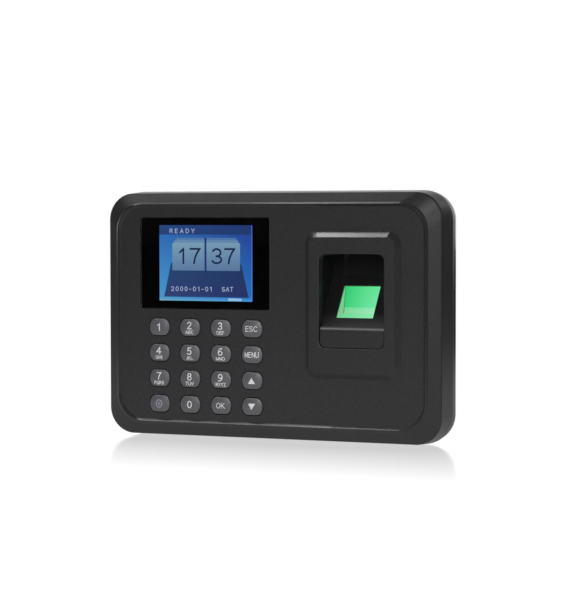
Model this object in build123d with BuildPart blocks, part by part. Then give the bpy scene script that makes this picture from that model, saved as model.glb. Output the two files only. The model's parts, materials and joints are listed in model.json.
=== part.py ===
"""Fingerprint scanner terminal: a wall-hung time clock with a keypad, a screen and a finger slot.

+Z is up, the front faces -Y and +X is to the right as the user sees it. The origin is the middle
of the footprint, on the surface that the terminal stands on. Depths are measured in +Y from the
flat front panel. Heights in this file are measured from the lower edge of the face; keep() raises
every finished piece by LIFT, so that the widest part of the shell stands on Z = 0.
"""

from build123d import *
import math
import os

os.makedirs("parts", exist_ok=True)

# ---- Driving dimensions, in millimetres ----
WIDTH = 170.5  # of the face, which the bead, the panel and the sockets are set out from
HEIGHT = 118.1
BODY_DEPTH = 25.8  # front panel to the back of the rear shell
PAD_RISE = 2.5  # the finger pad stands this far in front of the panel
PANEL_Y = (PAD_RISE - BODY_DEPTH) / 2  # puts the whole depth evenly about Y = 0
WALL = 2.4
PANEL = 2.6  # thickness of the front panel
RIM = (-85.4, 85.4, -0.15, 117.25)  # outline where the bevel meets the side walls
RIM_CORNER = 12.6
RIDGE = (-86.4, 86.4, -1.15, 118.25)  # the side walls flare to this outline
RIDGE_CORNER = 14.0
RIDGE_DEPTH = (16.4, 17.4)
REAR_TAPER = 0.25  # the outline draws in by this much from the ridge to the seam
BACK_TAPER = 0.55  # and by this much from the seam to the back
LIFT = -RIDGE[2]
CAVITY = (-83.2, 83.2, 2.0, 115.2)
CAVITY_CORNER = 12.4
BEVEL_WIDTH = 5.3
BEVEL_BACK = 3.1  # depth where the bevel meets the side wall
BEVEL_FRONT = -0.3
BEAD_OUT = 6.1  # a low bead runs round the panel: its crest starts this far in
BEAD_IN = 6.55
CREST = -1.1  # the bead's crest stands in front of the panel
CREST_CORNER = 13.5
PANEL_INSET = 7.6
PANEL_CORNER = 11.8
SEAM = 20.1  # depth of the parting line between the two shells
SEAM_BREAK = 0.35
REAR_ROUND = 2.9
RUN_GAP = 0.35  # clearance round a moving key

LENS = (-67.3, 0.5, 61.5, 105.6)  # x from, x to, z from, z to
LENS_FRONT = 0.4
LENS_THICK = 1.0
LEDGE_BACK = 2.2
VIEW = (-57.55, -8.59, 65.13, 101.85)  # active area of the 2.4 inch display
DISPLAY = (-65.0, -5.6, 62.1, 104.85)
DISPLAY_FRONT = 2.25
GLASS_BACK = 3.75
DISPLAY_BACK = 5.4
BOARD = (-79.5, 14.0, 7.5, 103.5)
BOARD_FRONT = 6.6
BOARD_BACK = 8.2

KEY_WIDTH = 10.6
KEY_HEIGHT = 8.2
KEY_CORNER = 2.6
KEY_PITCH_X = 16.27
KEY_PITCH_Z = 12.4
KEYPAD_X = -32.6
KEYPAD_Z = 33.83
KEY_PROUD = 1.2
KEY_FLANGE = (2.75, 3.75)  # front and back depth of the flange that keeps a key in
KEY_FLANGE_RIM = 1.1
KEY_CROWN = 18.0
KEY_EDGE = 0.6  # rounding where the crown meets the sides
KEY_ROWS = (
    ("key_1", "key_2", "key_3", "key_esc"),
    ("key_4", "key_5", "key_6", "key_menu"),
    ("key_7", "key_8", "key_9", "key_up"),
    ("key_power", "key_0", "key_ok", "key_down"),
)

PAD = (19.1, 66.7, 29.8, 98.8)  # foot of the raised pad round the finger opening
PAD_SLOPE = 2.6
PAD_CORNER = 5.75
SLOT = (26.7, 59.0, 44.2, 88.5)  # finger opening
SLOT_CORNER = 3.25
SLOT_BACK = 17.0  # depth of the wall behind the finger
WINDOW_LOW = (2.2, 58.4)  # depth and height of the scanning window's front edge
WINDOW_HIGH = (13.4, 73.2)  # and of its back edge
WINDOW_WIDTH = 18.3
LIP_FRONT = -1.7
LIP_ROUND = 4.5
GUIDE_WALL = 1.6

BRACKET = (-46.0, 46.0, 30.0, 94.0)
BRACKET_DEPTH = (24.6, 25.8)
BRACKET_TRAVEL = 5.0
BRACKET_FLOOR = 22.2  # floor of the rear shell's recess
TAB_X = 34.0
TAB_HEIGHTS = (40.0, 84.0)
WALL_SCREW_X = 60.0  # spacing of the wall screws
WALL_SCREW_Z = 40.0

HOUSING_SCREWS = ((-75.5, 9.5), (75.5, 9.5), (-75.5, 108.0), (75.5, 108.0))
BOARD_SCREWS = ((-69.5, 58.5), (8.5, 49.0), (8.5, 12.5), (8.5, 99.0), (-70.5, 99.5))
GUIDE_SCREWS = ((22.6, 42.5), (63.2, 42.5), (22.6, 91.5), (63.2, 91.5))
SENSOR_SCREWS = ((28.9, 51.5), (56.8, 51.5))
SPEAKER = (66.0, 24.0)
JACK_Z = 30.0
USB_Z = 50.0


# ---- Helpers: each one works on the part that is being built ----
def at_depth(depth):
    """Sketch plane facing forward, X across and Z up, at a depth behind the front panel."""
    return Plane.XZ.offset(-(PANEL_Y + depth))


def slab(box, front, back, radius=0.0, mode=Mode.ADD):
    """A plate between two depths, over x from, x to, z from, z to."""
    x0, x1, z0, z1 = box
    with BuildSketch(at_depth(back)) as outline:
        with Locations(((x0 + x1) / 2, (z0 + z1) / 2)):
            if radius:
                RectangleRounded(x1 - x0, z1 - z0, radius)
            else:
                Rectangle(x1 - x0, z1 - z0)
    extrude(outline.sketch, amount=back - front, mode=mode)


def rods(places, radius, front, back, mode=Mode.ADD):
    """Round rods or holes between two depths, one at each x, z place."""
    with BuildSketch(at_depth(back)) as ends:
        with Locations(*places):
            Circle(radius)
    extrude(ends.sketch, amount=back - front, mode=mode)


def cones(places, front_radius, back_radius, front, back, mode=Mode.ADD):
    """Tapered rods or holes between two depths."""
    for x, z in places:
        with BuildSketch(at_depth(back)) as wide:
            with Locations((x, z)):
                Circle(back_radius)
        with BuildSketch(at_depth(front)) as narrow:
            with Locations((x, z)):
                Circle(front_radius)
        loft([wide.sketch.face(), narrow.sketch.face()], mode=mode)


def wedge(x0, x1, corners, mode=Mode.ADD):
    """A bar along X whose side view is an outline of depth, height corners."""
    with BuildSketch(Plane.YZ.offset(x0)) as profile:
        with BuildLine():
            Polyline([(PANEL_Y + depth, height) for depth, height in corners], close=True)
        make_face()
    extrude(profile.sketch, amount=x1 - x0, mode=mode)


def ribbon(route, thickness, z0, z1, bend):
    """A flat cable along a plan-view route of x, depth points."""
    with BuildSketch(Plane.XY.offset(z0)) as strip:
        with BuildLine():
            path = FilletPolyline(*[(x, PANEL_Y + depth) for x, depth in route], radius=bend)
            offset(path, amount=thickness, side=Side.LEFT)
        make_face()
    extrude(strip.sketch, amount=z1 - z0)


def grown(box, amount):
    """The same rectangle with every side moved out."""
    x0, x1, z0, z1 = box
    return (x0 - amount, x1 + amount, z0 - amount, z1 + amount)


def face_box(inset):
    """The outline of the face, moved in."""
    return (-WIDTH / 2 + inset, WIDTH / 2 - inset, inset, HEIGHT - inset)


def frustum(back_box, back_radius, back, front_box, front_radius, front, mode=Mode.ADD):
    """A block between two rounded rectangles at two depths."""
    ends = []
    for box, radius, depth in ((back_box, back_radius, back), (front_box, front_radius, front)):
        x0, x1, z0, z1 = box
        with BuildSketch(at_depth(depth)) as end:
            with Locations(((x0 + x1) / 2, (z0 + z1) / 2)):
                RectangleRounded(x1 - x0, z1 - z0, radius)
        ends.append(end.sketch.face())
    loft(ends, ruled=True, mode=mode)


def key_face(grow):
    """A key's outline: a disc cut flat above and below, with every side moved out by grow."""
    with BuildSketch() as face:
        Circle(KEY_WIDTH / 2)
        Rectangle(KEY_WIDTH, KEY_HEIGHT, mode=Mode.INTERSECT)
        corners = [v for v in face.vertices() if abs(v.Y) > KEY_HEIGHT / 2 - 0.01]
        fillet(corners, KEY_CORNER)
        if grow:
            offset(amount=grow)
    return face.sketch


def key_places():
    """Each key's name and the x, z place of its centre."""
    places = {}
    for row, names in enumerate(KEY_ROWS):
        for column, name in enumerate(names):
            x = KEYPAD_X + (column - 1.5) * KEY_PITCH_X
            z = KEYPAD_Z + (1.5 - row) * KEY_PITCH_Z
            places[name] = (x, z)
    return places


def keep(part, label):
    """Raise a finished piece to its place, name it and write it."""
    placed = part.moved(Location((0, 0, LIFT)))
    placed.label = label
    export_step(placed, f"parts/{label}.step")


KEYS = key_places()
SEAM_BOX = grown(RIDGE, -REAR_TAPER)
BACK_BOX = grown(SEAM_BOX, -BACK_TAPER)
SEAM_CORNER = RIDGE_CORNER - REAR_TAPER
DECK_SLOPE = (WINDOW_HIGH[1] - WINDOW_LOW[1]) / (WINDOW_HIGH[0] - WINDOW_LOW[0])
DECK_ANGLE = math.degrees(math.atan(DECK_SLOPE))
SLOT_X = (SLOT[0] + SLOT[1]) / 2


def deck_height(depth, below=0.0):
    """Height of the slanted deck at a depth, or of a plane that lies square below it."""
    drop = below / math.cos(math.radians(DECK_ANGLE))
    return WINDOW_LOW[1] + (depth - WINDOW_LOW[0]) * DECK_SLOPE - drop


# ---- Front housing: bevelled frame, sunk panel and raised finger pad ----
BOSS = 3.8
CAVITY_START = 5.4  # depth where the cavity reaches its full width
with BuildPart() as front_housing:
    frustum(RIDGE, RIDGE_CORNER, RIDGE_DEPTH[0], RIM, RIM_CORNER, BEVEL_BACK)
    slab(RIDGE, RIDGE_DEPTH[0], RIDGE_DEPTH[1], RIDGE_CORNER)
    frustum(SEAM_BOX, SEAM_CORNER, SEAM, RIDGE, RIDGE_CORNER, RIDGE_DEPTH[1])
    bevel_top = (face_box(BEVEL_WIDTH), CREST_CORNER, BEVEL_FRONT)
    frustum(RIM, RIM_CORNER, BEVEL_BACK, *bevel_top)
    frustum(*bevel_top, face_box(BEAD_OUT), CREST_CORNER - 0.2, CREST)
    shoulder = front_housing.edges().filter_by_position(
        Axis.Y, PANEL_Y + BEVEL_BACK - 0.01, PANEL_Y + BEVEL_BACK + 0.01
    )
    fillet(shoulder, 1.0)
    seam_edge = front_housing.faces().sort_by(Axis.Y)[-1].edges()
    chamfer(seam_edge, SEAM_BREAK)
    frustum(face_box(PANEL_INSET), PANEL_CORNER, 0, face_box(BEAD_IN), CREST_CORNER - 0.3, CREST,
            mode=Mode.SUBTRACT)
    frustum(PAD, PAD_CORNER, 0.5, PAD, PAD_CORNER, 0)
    frustum(PAD, PAD_CORNER, 0, grown(PAD, -PAD_SLOPE), PAD_CORNER - 2.0, -PAD_RISE)
    # Cavity, open at the back
    slab(CAVITY, CAVITY_START, SEAM, CAVITY_CORNER, mode=Mode.SUBTRACT)
    frustum(CAVITY, CAVITY_CORNER, CAVITY_START, face_box(BEAD_IN), CAVITY_CORNER, PANEL,
            mode=Mode.SUBTRACT)
    # Screen: pocket for the lens, hole behind it and a shallow bed for the display
    slab(grown(LENS, 0.15), CREST, LENS_FRONT + LENS_THICK, 1.2, mode=Mode.SUBTRACT)
    slab(grown(VIEW, 1.4), 0, PANEL, 0.8, mode=Mode.SUBTRACT)
    slab(grown(DISPLAY, 0.3), LEDGE_BACK, PANEL, mode=Mode.SUBTRACT)
    # Key holes
    with BuildSketch(at_depth(PANEL)) as key_holes:
        with Locations(*KEYS.values()):
            add(key_face(RUN_GAP))
    extrude(key_holes.sketch, amount=PANEL + 1, mode=Mode.SUBTRACT)
    # Finger opening
    slab(SLOT, -PAD_RISE - 1, PANEL, SLOT_CORNER, mode=Mode.SUBTRACT)
    slot_rim = front_housing.faces().sort_by(Axis.Y)[0].inner_wires()[0].edges()
    fillet(slot_rim, 0.4)
    # Sockets in the left side
    jack_plane = Plane.YZ.offset(RIDGE[0] - 1)
    with BuildSketch(jack_plane) as side_holes:
        with Locations((PANEL_Y + 13.4, JACK_Z)):
            Circle(3.9)
        with Locations((PANEL_Y + 11.05, USB_Z)):
            RectangleRounded(6.9, 14.3, 0.8)
    extrude(side_holes.sketch, amount=CAVITY[0] - RIDGE[0] + 2, mode=Mode.SUBTRACT)
    # Bosses and their pilot holes
    rods(HOUSING_SCREWS, BOSS, PANEL - 0.2, 13.0)
    rods(HOUSING_SCREWS, 1.5, 5.5, 13.0, mode=Mode.SUBTRACT)
    rods(BOARD_SCREWS, 2.6, PANEL - 0.2, BOARD_FRONT)
    rods(BOARD_SCREWS, 1.1, PANEL + 0.4, BOARD_FRONT, mode=Mode.SUBTRACT)
    rods(GUIDE_SCREWS, 1.1, -0.6, PANEL, mode=Mode.SUBTRACT)
keep(front_housing.part, "front_housing")


# ---- Rear housing: tongue, screw tubes, bracket recess and speaker grille ----
PLATE_FRONT = BODY_DEPTH - WALL
RECESS = (BRACKET[0] - 1, BRACKET[1] + 1, BRACKET[2] - BRACKET_TRAVEL - 2, BRACKET[3] + 1)
RECESS_SKIN = 1.6
HEAD_SEAT = 16.5
TONGUE = 1.2
with BuildPart() as rear_housing:
    frustum(BACK_BOX, SEAM_CORNER - BACK_TAPER, BODY_DEPTH, SEAM_BOX, SEAM_CORNER, SEAM)
    back_edge = rear_housing.faces().sort_by(Axis.Y)[-1].edges()
    fillet(back_edge, REAR_ROUND)
    seam_edge = rear_housing.faces().sort_by(Axis.Y)[0].edges()
    chamfer(seam_edge, SEAM_BREAK)
    slab(grown(CAVITY, -0.2), SEAM - 1.8, SEAM + 1, CAVITY_CORNER - 0.2)
    slab(grown(CAVITY, -0.2 - TONGUE), SEAM - 1.8, PLATE_FRONT, CAVITY_CORNER - 0.2 - TONGUE,
         mode=Mode.SUBTRACT)
    # Recess that takes the wall bracket, as a pan standing in from the back plate
    slab(grown(RECESS, RECESS_SKIN), BRACKET_FLOOR - RECESS_SKIN, PLATE_FRONT + 0.5, 4.0)
    slab(RECESS, BRACKET_FLOOR, BODY_DEPTH, 3.0, mode=Mode.SUBTRACT)
    for height in TAB_HEIGHTS:
        for side in (-1, 1):
            slot_box = (side * TAB_X - 4.6, side * TAB_X + 4.6, height - BRACKET_TRAVEL - 0.4,
                        height + 1.6)
            slab(slot_box, BRACKET_FLOOR - RECESS_SKIN, BRACKET_FLOOR, mode=Mode.SUBTRACT)
    # Screw tubes
    rods(HOUSING_SCREWS, 4.3, 13.1, PLATE_FRONT + 0.5)
    rods(HOUSING_SCREWS, 3.2, HEAD_SEAT, BODY_DEPTH, mode=Mode.SUBTRACT)
    rods(HOUSING_SCREWS, 1.8, 13.1, HEAD_SEAT, mode=Mode.SUBTRACT)
    # Speaker cup and grille
    rods([SPEAKER], 13.2, 19.5, PLATE_FRONT + 0.2)
    rods([SPEAKER], 11.8, 19.5, PLATE_FRONT, mode=Mode.SUBTRACT)
    for step in range(-3, 4):
        half = math.sqrt(9.0**2 - (step * 2.6) ** 2)
        x = SPEAKER[0] + step * 2.6
        slit = (x - 0.7, x + 0.7, SPEAKER[1] - half, SPEAKER[1] + half)
        slab(slit, PLATE_FRONT - 1, BODY_DEPTH, 0.69, mode=Mode.SUBTRACT)
keep(rear_housing.part, "rear_housing")


# ---- Screen: lens, display and its holder ----
with BuildPart() as screen_lens:
    slab(LENS, LENS_FRONT, LENS_FRONT + LENS_THICK - 0.02, 1.0)
    lens_edge = screen_lens.faces().sort_by(Axis.Y)[0].edges()
    chamfer(lens_edge, 0.2)
keep(screen_lens.part, "screen_lens")

with BuildPart() as display_glass:
    slab(DISPLAY, DISPLAY_FRONT + 0.55, GLASS_BACK)
    slab((DISPLAY[0] + 4.0, DISPLAY[1], DISPLAY[2], DISPLAY[3]), DISPLAY_FRONT, DISPLAY_FRONT + 0.55)
keep(display_glass.part, "display_glass")

with BuildPart() as display_backlight:
    slab(DISPLAY, GLASS_BACK + 0.05, DISPLAY_BACK, 0.5)
keep(display_backlight.part, "display_backlight")

HOLDER = grown(DISPLAY, 1.3)
with BuildPart() as display_holder:
    slab(HOLDER, PANEL + 0.1, BOARD_FRONT, 1.0)
    slab(grown(DISPLAY, 0.15), PANEL + 0.1, DISPLAY_BACK + 0.05, mode=Mode.SUBTRACT)
    slab(grown(DISPLAY, -9.0), DISPLAY_BACK, BOARD_FRONT, 2.0, mode=Mode.SUBTRACT)
    slab((HOLDER[0] - 1, DISPLAY[0], 71.0, 95.0), PANEL, BOARD_FRONT, mode=Mode.SUBTRACT)
keep(display_holder.part, "display_holder")

with BuildPart() as display_flex:
    ribbon([(DISPLAY[0] - 0.05, 3.5), (-68.6, 3.5), (-68.6, 6.35), (-74.5, 6.35)], 0.2, 72.0, 94.0,
           0.9)
keep(display_flex.part, "display_flex")


# ---- Keys ----
for name, place in KEYS.items():
    with BuildPart() as key:
        with BuildSketch(at_depth(KEY_FLANGE[1])) as flange:
            with Locations(place):
                add(key_face(KEY_FLANGE_RIM))
        extrude(flange.sketch, amount=KEY_FLANGE[1] - KEY_FLANGE[0])
        with BuildSketch(at_depth(KEY_FLANGE[1])) as stem:
            with Locations(place):
                add(key_face(0))
        extrude(stem.sketch, amount=KEY_FLANGE[1] + KEY_PROUD)
        with Locations((place[0], PANEL_Y - KEY_PROUD + KEY_CROWN, place[1])):
            Sphere(KEY_CROWN, mode=Mode.INTERSECT)
        crown_edge = key.faces().sort_by(Axis.Y)[0].edges()
        fillet(crown_edge, KEY_EDGE)
    keep(key.part, name)

DOME_TOP = KEY_FLANGE[1] + 0.05
SHEET_FRONT = 5.8
with BuildPart() as keypad_membrane:
    mat = (KEYPAD_X - 31.0, KEYPAD_X + 31.0, KEYPAD_Z - 24.0, KEYPAD_Z + 23.2)
    slab(mat, SHEET_FRONT, BOARD_FRONT, 2.0)
    cones(KEYS.values(), 2.6, 4.2, DOME_TOP, SHEET_FRONT + 0.1)
    cones(KEYS.values(), 1.9, 3.5, DOME_TOP + 0.9, BOARD_FRONT, mode=Mode.SUBTRACT)
keep(keypad_membrane.part, "keypad_membrane")


# ---- Main board and what is soldered on it ----
with BuildPart() as main_board:
    slab(BOARD, BOARD_FRONT, BOARD_BACK, 1.0)
    slab((BOARD[0] - 1, -70.8, BOARD[2] - 1, 14.5), BOARD_FRONT, BOARD_BACK, mode=Mode.SUBTRACT)
    rods(BOARD_SCREWS, 1.4, BOARD_FRONT, BOARD_BACK, mode=Mode.SUBTRACT)
keep(main_board.part, "main_board")

with BuildPart() as board_chips:
    slab((-30, -12, 70, 88), BOARD_BACK, BOARD_BACK + 1.4)
    slab((-52, -40, 74, 84), BOARD_BACK, BOARD_BACK + 1.2)
    slab((-6, 2, 60, 66), BOARD_BACK, BOARD_BACK + 1.5)
    slab((-62, -56, 34, 40), BOARD_BACK, BOARD_BACK + 1.5)
    slab((-30, -22, 44, 56), BOARD_BACK, BOARD_BACK + 1.2)
keep(board_chips.part, "board_chips")

with BuildPart() as board_capacitors:
    places = [(-58.0, 22.0), (-50.0, 22.0), (-56.0, 52.0)]
    rods(places, 3.15, BOARD_BACK, BOARD_BACK + 7.0)
    cap_ends = board_capacitors.faces().group_by(Axis.Y)[-1].edges()
    fillet(cap_ends, 0.5)
keep(board_capacitors.part, "board_capacitors")

SENSOR_PLUG = (4.0, 10.0, 57.0, 69.0)
SPEAKER_PLUG = (5.0, 11.0, 20.5, 27.5)
with BuildPart() as board_connectors:
    for plug in (SENSOR_PLUG, SPEAKER_PLUG):
        slab(plug, BOARD_BACK, BOARD_BACK + 4.0)
        slab((plug[0] + 1.5, plug[1], plug[2] + 1, plug[3] - 1), BOARD_BACK + 1.0, BOARD_BACK + 3.0,
             mode=Mode.SUBTRACT)
keep(board_connectors.part, "board_connectors")

CELL = (-20.0, 24.0)
with BuildPart() as cell_holder:
    rods([CELL], 12.0, BOARD_BACK, BOARD_BACK + 4.4)
    rods([CELL], 10.2, BOARD_BACK + 0.8, BOARD_BACK + 4.4, mode=Mode.SUBTRACT)
    slab((CELL[0] - 5, CELL[0] + 5, CELL[1] + 6, CELL[1] + 13), BOARD_BACK + 0.8, BOARD_BACK + 4.4,
         mode=Mode.SUBTRACT)
keep(cell_holder.part, "cell_holder")

with BuildPart() as clock_cell:
    rods([CELL], 10.0, BOARD_BACK + 0.85, BOARD_BACK + 4.05)
    cell_edge = clock_cell.faces().sort_by(Axis.Y)[-1].edges()
    fillet(cell_edge, 0.4)
keep(clock_cell.part, "clock_cell")

JACK_FACE = -WIDTH / 2 + WALL + 0.4
JACK_DEPTH = 13.4
with BuildPart() as dc_jack:
    slab((JACK_FACE, JACK_FACE + 14, JACK_Z - 4.5, JACK_Z + 4.5), BOARD_BACK, BOARD_BACK + 9.8)
    with BuildSketch(Plane.YZ.offset(JACK_FACE)) as barrel:
        with Locations((PANEL_Y + JACK_DEPTH, JACK_Z)):
            Circle(2.9)
    extrude(barrel.sketch, amount=10.5, mode=Mode.SUBTRACT)
keep(dc_jack.part, "dc_jack")

with BuildPart() as dc_jack_pin:
    with BuildSketch(Plane.YZ.offset(JACK_FACE + 1.0)) as pin_end:
        with Locations((PANEL_Y + JACK_DEPTH, JACK_Z)):
            Circle(1.0)
    extrude(pin_end.sketch, amount=9.5)
keep(dc_jack_pin.part, "dc_jack_pin")

USB_FACE = -WIDTH / 2 + 0.9
with BuildPart() as usb_socket:
    usb_box = (USB_FACE, USB_FACE + 14, USB_Z - 6.55, USB_Z + 6.55)
    slab(usb_box, BOARD_BACK, BOARD_BACK + 5.7)
    with BuildSketch(Plane.YZ.offset(USB_FACE)) as mouth:
        with Locations((PANEL_Y + BOARD_BACK + 2.85, USB_Z)):
            Rectangle(4.9, 12.3)
    extrude(mouth.sketch, amount=13.2, mode=Mode.SUBTRACT)
keep(usb_socket.part, "usb_socket")

with BuildPart() as usb_tongue:
    tongue_x = USB_FACE + 1.0
    slab((tongue_x, USB_FACE + 13.2, USB_Z - 5.6, USB_Z + 5.6), BOARD_BACK + 3.2, BOARD_BACK + 5.1)
    slab((USB_FACE + 11.0, USB_FACE + 13.2, USB_Z - 6.1, USB_Z + 6.1), BOARD_BACK + 0.45,
         BOARD_BACK + 5.2)
keep(usb_tongue.part, "usb_tongue")


# ---- Finger guide: the black insert with the slanted deck ----
FLANGE = (PANEL + 0.05, 4.2)
GUIDE_INNER = grown(SLOT, 0.2)
GUIDE_OUTER = grown(SLOT, 0.2 + GUIDE_WALL)
TUNNEL_BACK = SLOT_BACK + GUIDE_WALL
DECK_THICK = 2.0
CRADLE_TOP = deck_height(16.7, DECK_THICK + 0.3)
with BuildPart() as finger_guide:
    slab((19.6, 66.2, 39.5, 94.5), FLANGE[0], FLANGE[1], 2.0)
    slab(GUIDE_OUTER, FLANGE[1] - 0.5, TUNNEL_BACK, 3.0)
    slab(GUIDE_INNER, FLANGE[0], SLOT_BACK, 1.4, mode=Mode.SUBTRACT)
    slab((GUIDE_OUTER[0], GUIDE_OUTER[1], GUIDE_OUTER[2] - 1, CRADLE_TOP + 0.35),
         SLOT_BACK - 0.01, TUNNEL_BACK, mode=Mode.SUBTRACT)
    # Deck, lip and floor, seen from the side
    deck_end = SLOT_BACK + 0.3
    wedge(GUIDE_INNER[0], GUIDE_INNER[1], [
        (FLANGE[0], SLOT[2] + 0.3),
        (FLANGE[0], deck_height(FLANGE[0])),
        (deck_end, deck_height(deck_end)),
        (deck_end, deck_height(deck_end, DECK_THICK)),
        (FLANGE[1], deck_height(FLANGE[1], DECK_THICK)),
        (FLANGE[1], SLOT[2] + 0.3),
    ])
    wedge(SLOT[0] + 0.35, SLOT[1] - 0.35, [
        (LIP_FRONT, SLOT[2] + 0.3),
        (LIP_FRONT, deck_height(LIP_FRONT)),
        (FLANGE[0] + 0.2, deck_height(FLANGE[0] + 0.2)),
        (FLANGE[0] + 0.2, SLOT[2] + 0.3),
    ])
    lip = finger_guide.edges().filter_by(Axis.X).filter_by(
        lambda e: abs(e.center().Y - PANEL_Y - LIP_FRONT) < 0.01 and e.center().Z > SLOT[2] + 2
    )
    fillet(lip, LIP_ROUND)
    lip_corners = finger_guide.edges().filter_by(Axis.Y).filter_by(
        lambda e: e.center().Y < PANEL_Y + FLANGE[0] and e.center().Z < SLOT[2] + 1
    )
    fillet(lip_corners, SLOT_CORNER - 0.3)
    # Window hole, square to the deck
    middle = (
        SLOT_X,
        PANEL_Y + (WINDOW_LOW[0] + WINDOW_HIGH[0]) / 2,
        (WINDOW_LOW[1] + WINDOW_HIGH[1]) / 2,
    )
    tilt = math.radians(DECK_ANGLE)
    deck_plane = Plane(middle, x_dir=(1, 0, 0), z_dir=(0, -math.sin(tilt), math.cos(tilt)))
    WINDOW_LENGTH = math.dist(WINDOW_LOW, WINDOW_HIGH)
    with BuildSketch(deck_plane.offset(1)) as window:
        RectangleRounded(WINDOW_WIDTH, WINDOW_LENGTH, 0.3)
    extrude(window.sketch, amount=-5, mode=Mode.SUBTRACT)
    # Hollow behind the lip, and the ears' pillars for the sensor
    wedge(SLOT[0] + 2.0, SLOT[1] - 2.0, [
        (LIP_FRONT + 1.6, SLOT[2] + 1.9),
        (LIP_FRONT + 1.6, deck_height(LIP_FRONT + 1.6, DECK_THICK)),
        (FLANGE[1] + 0.1, deck_height(FLANGE[1] + 0.1, DECK_THICK)),
        (FLANGE[1] + 0.1, SLOT[2] + 1.9),
    ], mode=Mode.SUBTRACT)
    for x, z in SENSOR_SCREWS:
        toward = GUIDE_INNER[0] - 0.2 if x < SLOT_X else GUIDE_INNER[1] + 0.2
        reach = x + 1.7 if x < SLOT_X else x - 1.7
        pillar = (min(toward, reach), max(toward, reach), z - 2.5, z + 2.5)
        slab(pillar, 10.0, 16.6)
    rods(SENSOR_SCREWS, 1.1, 10.5, 16.6, mode=Mode.SUBTRACT)
    rods(GUIDE_SCREWS, 1.4, FLANGE[0], FLANGE[1], mode=Mode.SUBTRACT)
keep(finger_guide.part, "finger_guide")


# ---- Sensor: prism, cradle, board, camera and lamps ----
PRISM_SET = 0.3
PRISM_GAP = 0.2
SIN = math.sin(tilt)
COS = math.cos(tilt)


def square_below(point, along, below):
    """A depth, height point moved along the deck and square down into it."""
    return (point[0] + along * COS + below * SIN, point[1] + along * SIN - below * COS)


PRISM = [
    square_below(WINDOW_LOW, PRISM_GAP, PRISM_SET),
    square_below(WINDOW_HIGH, -PRISM_GAP, PRISM_SET),
    square_below(WINDOW_HIGH, -PRISM_GAP, DECK_THICK),
]
PRISM_FOOT = square_below(WINDOW_LOW, PRISM_GAP, DECK_THICK)
PRISM += [(PRISM[2][0], PRISM_FOOT[1]), PRISM_FOOT]
PRISM_X = (SLOT_X - WINDOW_WIDTH / 2 + PRISM_GAP, SLOT_X + WINDOW_WIDTH / 2 - PRISM_GAP)
with BuildPart() as sensor_prism:
    wedge(PRISM_X[0], PRISM_X[1], PRISM)
keep(sensor_prism.part, "sensor_prism")

CRADLE_BACK = 18.2
CRADLE_FLOOR = 45.6
with BuildPart() as sensor_cradle:
    wedge(SLOT_X - 11.4, SLOT_X + 11.4, [
        (4.7, CRADLE_FLOOR + 1.4),
        (4.7, deck_height(4.7, DECK_THICK + 0.3)),
        (16.7, CRADLE_TOP),
        (CRADLE_BACK, CRADLE_TOP),
        (CRADLE_BACK, CRADLE_FLOOR),
        (6.1, CRADLE_FLOOR),
    ])
    slab((27.0, 58.7, 48.5, 54.5), 16.7, CRADLE_BACK, 1.0)
    wedge(PRISM_X[0] - 0.1, PRISM_X[1] + 0.1, [
        (PRISM_FOOT[0] - 3.0, PRISM_FOOT[1] - 0.1),
        (PRISM[2][0] + 0.1, PRISM[2][1] + 5.0),
        (PRISM[2][0] + 0.1, PRISM_FOOT[1] - 0.1),
    ], mode=Mode.SUBTRACT)
    slab((SLOT_X - 8.5, SLOT_X + 8.5, 49.4, PRISM_FOOT[1]), 7.0, CRADLE_BACK, mode=Mode.SUBTRACT)
    rods(SENSOR_SCREWS, 1.4, 16.6, CRADLE_BACK, mode=Mode.SUBTRACT)
    board_screw_places = [(SLOT_X - 8.0, 47.5), (SLOT_X + 8.0, 47.5)]
    rods(board_screw_places, 0.9, 11.0, CRADLE_BACK, mode=Mode.SUBTRACT)
keep(sensor_cradle.part, "sensor_cradle")

SENSOR_BOARD_BACK = 19.45
with BuildPart() as sensor_board:
    slab((SLOT_X - 11.4, SLOT_X + 11.4, 46.0, 69.5), CRADLE_BACK + 0.05, SENSOR_BOARD_BACK)
    slab((SLOT_X - 16, SLOT_X - 10.4, 47.0, 56.0), CRADLE_BACK, 20, mode=Mode.SUBTRACT)
    slab((SLOT_X + 10.4, SLOT_X + 16, 47.0, 56.0), CRADLE_BACK, 20, mode=Mode.SUBTRACT)
    rods(board_screw_places, 1.1, CRADLE_BACK, 20, mode=Mode.SUBTRACT)
keep(sensor_board.part, "sensor_board")

with BuildPart() as sensor_camera:
    camera_place = [(SLOT_X, 53.2)]
    slab((SLOT_X - 3.4, SLOT_X + 3.4, 49.8, 56.6), 15.6, CRADLE_BACK + 0.05)
    rods(camera_place, 2.6, 12.0, 15.7)
    rods(camera_place, 1.2, 12.0, 12.8, mode=Mode.SUBTRACT)
keep(sensor_camera.part, "sensor_camera")

with BuildPart() as sensor_lamps:
    for x in (SLOT_X - 6.3, SLOT_X + 6.3):
        for z in (50.9, 54.9):
            slab((x - 0.8, x + 0.8, z - 0.8, z + 0.8), CRADLE_BACK - 0.7, CRADLE_BACK + 0.05)
keep(sensor_lamps.part, "sensor_lamps")

SENSOR_SOCKET = (36.0, 42.0, 57.5, 68.5)
with BuildPart() as sensor_socket:
    slab(SENSOR_SOCKET, SENSOR_BOARD_BACK, 20.4)
keep(sensor_socket.part, "sensor_socket")

with BuildPart() as sensor_cable:
    ribbon([(SENSOR_SOCKET[0], 19.95), (21.0, 19.95), (17.0, 10.1), (SENSOR_PLUG[1] - 2.5, 10.1)],
           0.3, 58.5, 67.5, 2.0)
keep(sensor_cable.part, "sensor_cable")


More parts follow.
